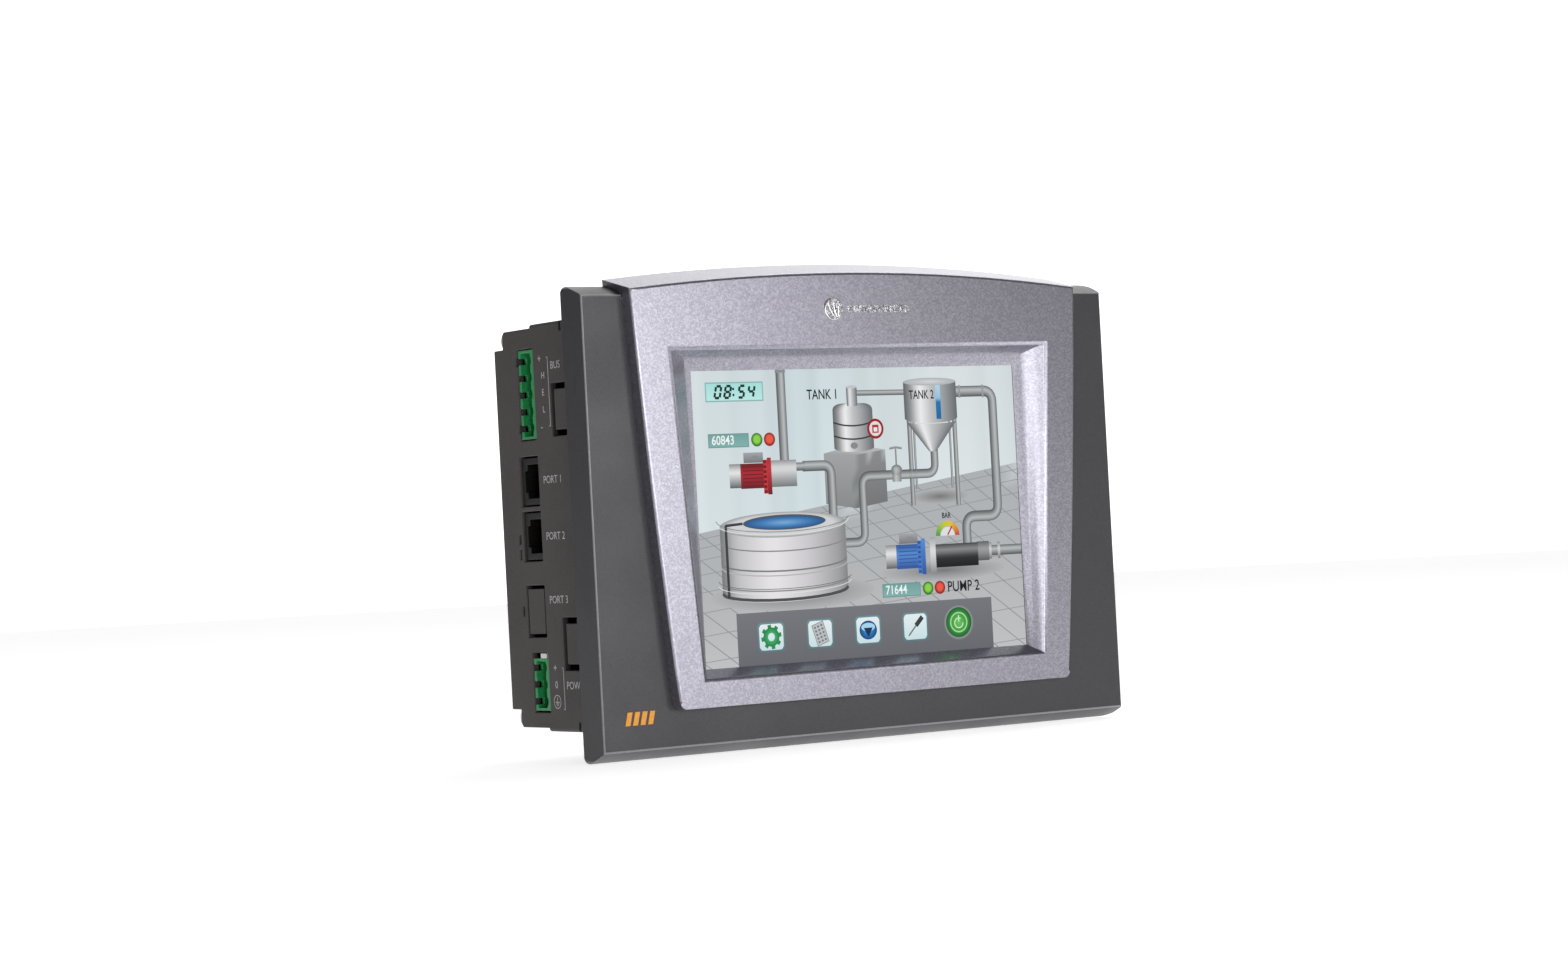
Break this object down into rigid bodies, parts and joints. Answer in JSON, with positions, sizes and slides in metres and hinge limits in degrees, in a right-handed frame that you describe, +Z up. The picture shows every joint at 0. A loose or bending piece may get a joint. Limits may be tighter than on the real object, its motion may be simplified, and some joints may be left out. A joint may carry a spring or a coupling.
{
  "type": "hmi touch panel",
  "caption": "Panel-mounted operator terminal: touch screen in an arched silver fascia on a dark flange, boxed case behind with terminals along one side.",
  "frame": {"origin": "centre of the flange's rear plane, which rests on the front of the panel the unit is fitted in", "axes": "+X to the right as seen from the front, +Y back into the panel, +Z up; the screen faces -Y"},
  "size_m": [0.197, 0.0691, 0.1466],
  "materials": {
    "bezel": "fine-textured dark charcoal plastic",
    "fascia": "satin silver-lilac metallic lacquer",
    "badge": "raised satin silver badge, blank",
    "accent": "printed orange marks",
    "gasket": "black foam rubber",
    "film": "clear polyester film",
    "glass": "clear glass",
    "cell": "display cell",
    "guide": "clear acrylic light guide",
    "tube": "white fluorescent tube",
    "steel": "zinc-plated sheet steel",
    "screw": "zinc-plated steel",
    "flex": "amber polyimide",
    "ribbon": "grey ribbon cable",
    "board": "green solder mask on glass epoxy",
    "chip": "black moulding compound",
    "ferrite": "grey ferrite and tape",
    "capacitor": "dark blue sleeve",
    "brass": "plain brass",
    "case": "fine-textured anthracite plastic",
    "lug": "natural nylon",
    "plate": "blank anodised foil plate",
    "green": "green terminal plastic",
    "black": "black connector plastic",
    "pin": "gold-plated contact",
    "tin": "tin-plated contact",
    "white": "white plastic",
    "blue": "blue switch body"
  },
  "bodies": {
    "panel_unit": {"outer_bezel": "bezel", "silver_fascia": "fascia", "name_badge": "badge", "accent_mark": "accent", "panel_gasket": "gasket", "bezel_screws": "screw", "screen_seal": "gasket", "touch_film": "film", "touch_glass": "glass", "touch_tail": "flex", "display_frame": "steel", "display_cell": "cell", "light_guide": "guide", "backlight_tubes": "tube", "display_bracket": "steel", "bracket_screws": "screw", "inverter_board": "board", "inverter_transformer": "ferrite", "display_ribbon": "ribbon", "mid_case": "case", "rear_cover": "case", "case_screws": "screw", "guide_lugs": "lug", "rating_plate": "plate", "main_board": "board", "main_board_screws": "screw", "logic_chips": "chip", "power_transformer": "ferrite", "power_choke": "ferrite", "power_capacitors": "capacitor", "buzzer": "black", "board_link": "black", "board_pillars": "brass", "rear_board": "board", "rear_board_screws": "screw", "bus_header": "green", "bus_header_pins": "tin", "power_header": "green", "power_header_pins": "tin", "coding_key": "white", "port_1_jack": "black", "port_2_jack": "black", "jack_contacts": "pin", "module_port": "black", "module_port_pins": "pin", "battery_holder": "black", "battery_clip": "tin", "coin_cell": "tin", "dip_block": "blue"},
    "battery_door": {"battery_door": "case"},
    "module_cap": {"module_port_cap": "case"},
    "blank_plate": {"port_3_blank": "case"},
    "switch_1": {"dip_slider_1": "white"},
    "switch_2": {"dip_slider_2": "white"},
    "switch_3": {"dip_slider_3": "white"},
    "switch_4": {"dip_slider_4": "white"}
  },
  "joints": [
    {"name": "battery_door_slide", "type": "slide", "parent": "panel_unit", "child": "battery_door", "axis": [0, 0, -1], "range_m": [0, 0.034]},
    {"name": "module_cap_pull", "type": "slide", "parent": "panel_unit", "child": "module_cap", "axis": [0, 1, 0], "range_m": [0, 0.012]},
    {"name": "blank_plate_pull", "type": "slide", "parent": "panel_unit", "child": "blank_plate", "axis": [-1, 0, 0], "range_m": [0, 0.01]},
    {"name": "switch_1_slide", "type": "slide", "parent": "panel_unit", "child": "switch_1", "axis": [0, 0, 1], "range_m": [0, 0.0016]},
    {"name": "switch_2_slide", "type": "slide", "parent": "panel_unit", "child": "switch_2", "axis": [0, 0, 1], "range_m": [0, 0.0016]},
    {"name": "switch_3_slide", "type": "slide", "parent": "panel_unit", "child": "switch_3", "axis": [0, 0, 1], "range_m": [0, 0.0016]},
    {"name": "switch_4_slide", "type": "slide", "parent": "panel_unit", "child": "switch_4", "axis": [0, 0, 1], "range_m": [0, 0.0016]}
  ]
}
